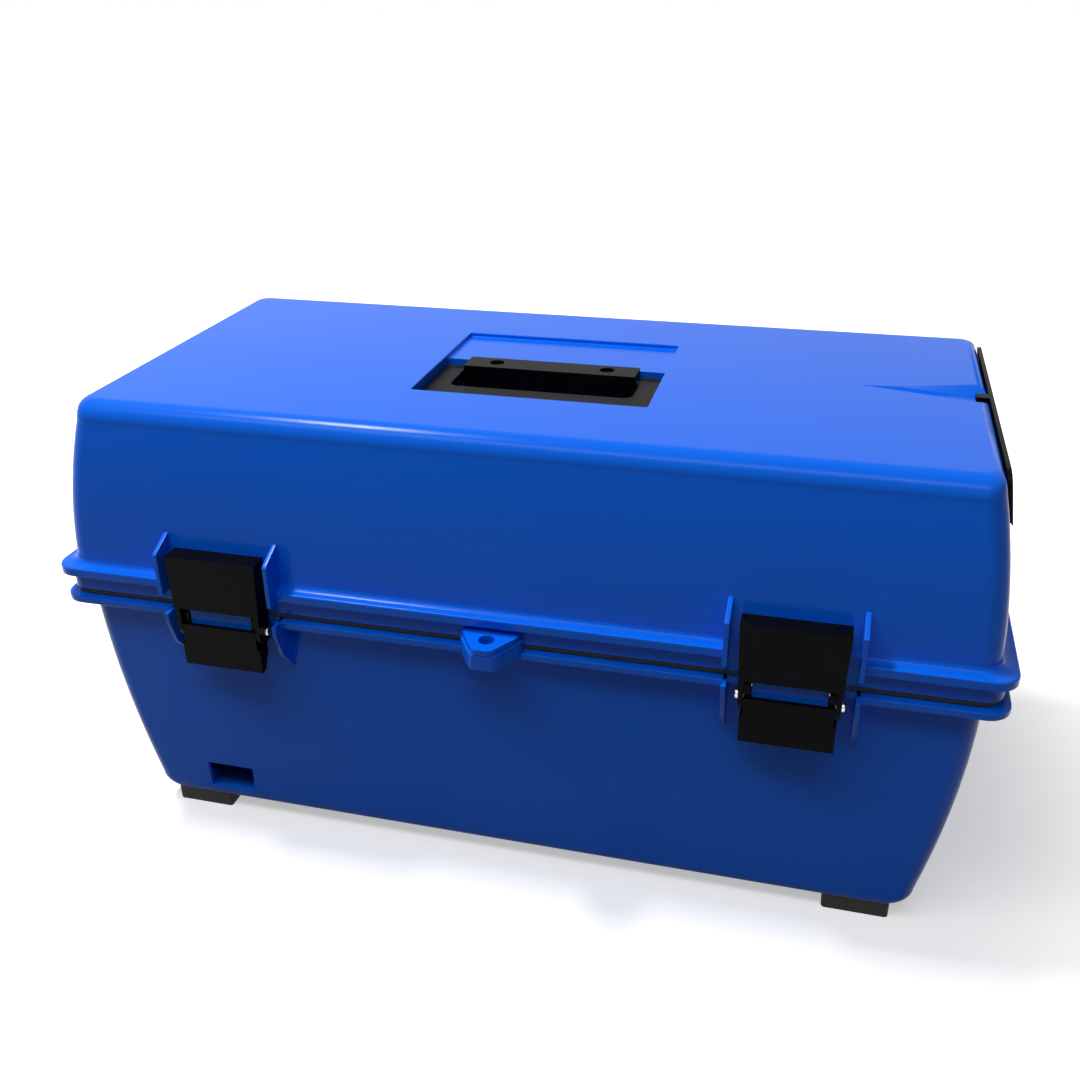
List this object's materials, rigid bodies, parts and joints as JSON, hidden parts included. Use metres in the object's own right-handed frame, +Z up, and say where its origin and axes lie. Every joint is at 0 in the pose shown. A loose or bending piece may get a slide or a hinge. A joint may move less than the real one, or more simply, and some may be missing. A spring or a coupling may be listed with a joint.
{
  "type": "battery box",
  "caption": "Oblong moulded plastic battery box with hinged lid, hook latches, folding carry handle in a lid well, hinged cable cover on one end and rubber feet.",
  "frame": {"origin": "on the floor under the middle of the box, where the four feet stand", "axes": "+X along the box towards the end with the cable cover, -Y the latch side (front), +Z up"},
  "size_m": [0.6, 0.347, 0.309],
  "materials": {
    "blue_shell": "semi-gloss moulded blue plastic",
    "black_plastic": "satin black moulded plastic",
    "seal_rubber": "matt black foam rubber",
    "foot_rubber": "matt black rubber",
    "steel": "bright zinc-plated steel"
  },
  "bodies": {
    "base": {"base_shell": "blue_shell", "rim_gasket": "seal_rubber", "left_hinge_pin": "steel", "right_hinge_pin": "steel", "left_lever_pin": "steel", "right_lever_pin": "steel", "front_left_foot": "foot_rubber", "front_right_foot": "foot_rubber", "rear_left_foot": "foot_rubber", "rear_right_foot": "foot_rubber", "front_left_foot_screw": "steel", "front_right_foot_screw": "steel", "rear_left_foot_screw": "steel", "rear_right_foot_screw": "steel"},
    "lid": {"lid_shell": "blue_shell", "handle_clamp": "black_plastic", "left_clamp_screw": "steel", "right_clamp_screw": "steel", "left_handle_pin": "steel", "right_handle_pin": "steel", "end_cover_pin": "steel"},
    "handle": {"carry_handle": "black_plastic"},
    "left_lever": {"left_latch_lever": "black_plastic", "left_latch_left_link_pin": "steel", "left_latch_right_link_pin": "steel"},
    "left_claw": {"left_latch_claw": "black_plastic"},
    "right_lever": {"right_latch_lever": "black_plastic", "right_latch_left_link_pin": "steel", "right_latch_right_link_pin": "steel"},
    "right_claw": {"right_latch_claw": "black_plastic"},
    "cover": {"end_cover": "black_plastic"}
  },
  "joints": [
    {"name": "lid_hinge", "type": "hinge", "parent": "base", "child": "lid", "pos_m": [0, 0.166, 0.1811], "axis": [-1, 0, 0], "range_deg": [0, 100]},
    {"name": "handle_hinge", "type": "hinge", "parent": "lid", "child": "handle", "pos_m": [0, 0.004, 0.299], "axis": [-1, 0, 0], "range_deg": [0, 100]},
    {"name": "cover_hinge", "type": "hinge", "parent": "lid", "child": "cover", "pos_m": [0.28346, 0, 0.2778], "axis": [0, 1, 0], "range_deg": [0, 110]},
    {"name": "left_lever_hinge", "type": "hinge", "parent": "base", "child": "left_lever", "pos_m": [-0.1785, -0.155, 0.1805], "axis": [-1, 0, 0], "range_deg": [0, 80]},
    {"name": "left_claw_hinge", "type": "hinge", "parent": "left_lever", "child": "left_claw", "pos_m": [-0.1785, -0.154, 0.172], "axis": [-1, 0, 0], "range_deg": [-100, 0]},
    {"name": "right_lever_hinge", "type": "hinge", "parent": "base", "child": "right_lever", "pos_m": [0.1785, -0.155, 0.1805], "axis": [-1, 0, 0], "range_deg": [0, 80]},
    {"name": "right_claw_hinge", "type": "hinge", "parent": "right_lever", "child": "right_claw", "pos_m": [0.1785, -0.154, 0.172], "axis": [-1, 0, 0], "range_deg": [-100, 0]}
  ],
  "couplings": [
    {"joint": "left_claw_hinge", "follows": "left_lever_hinge", "ratio": -1.25},
    {"joint": "right_claw_hinge", "follows": "right_lever_hinge", "ratio": -1.25}
  ]
}
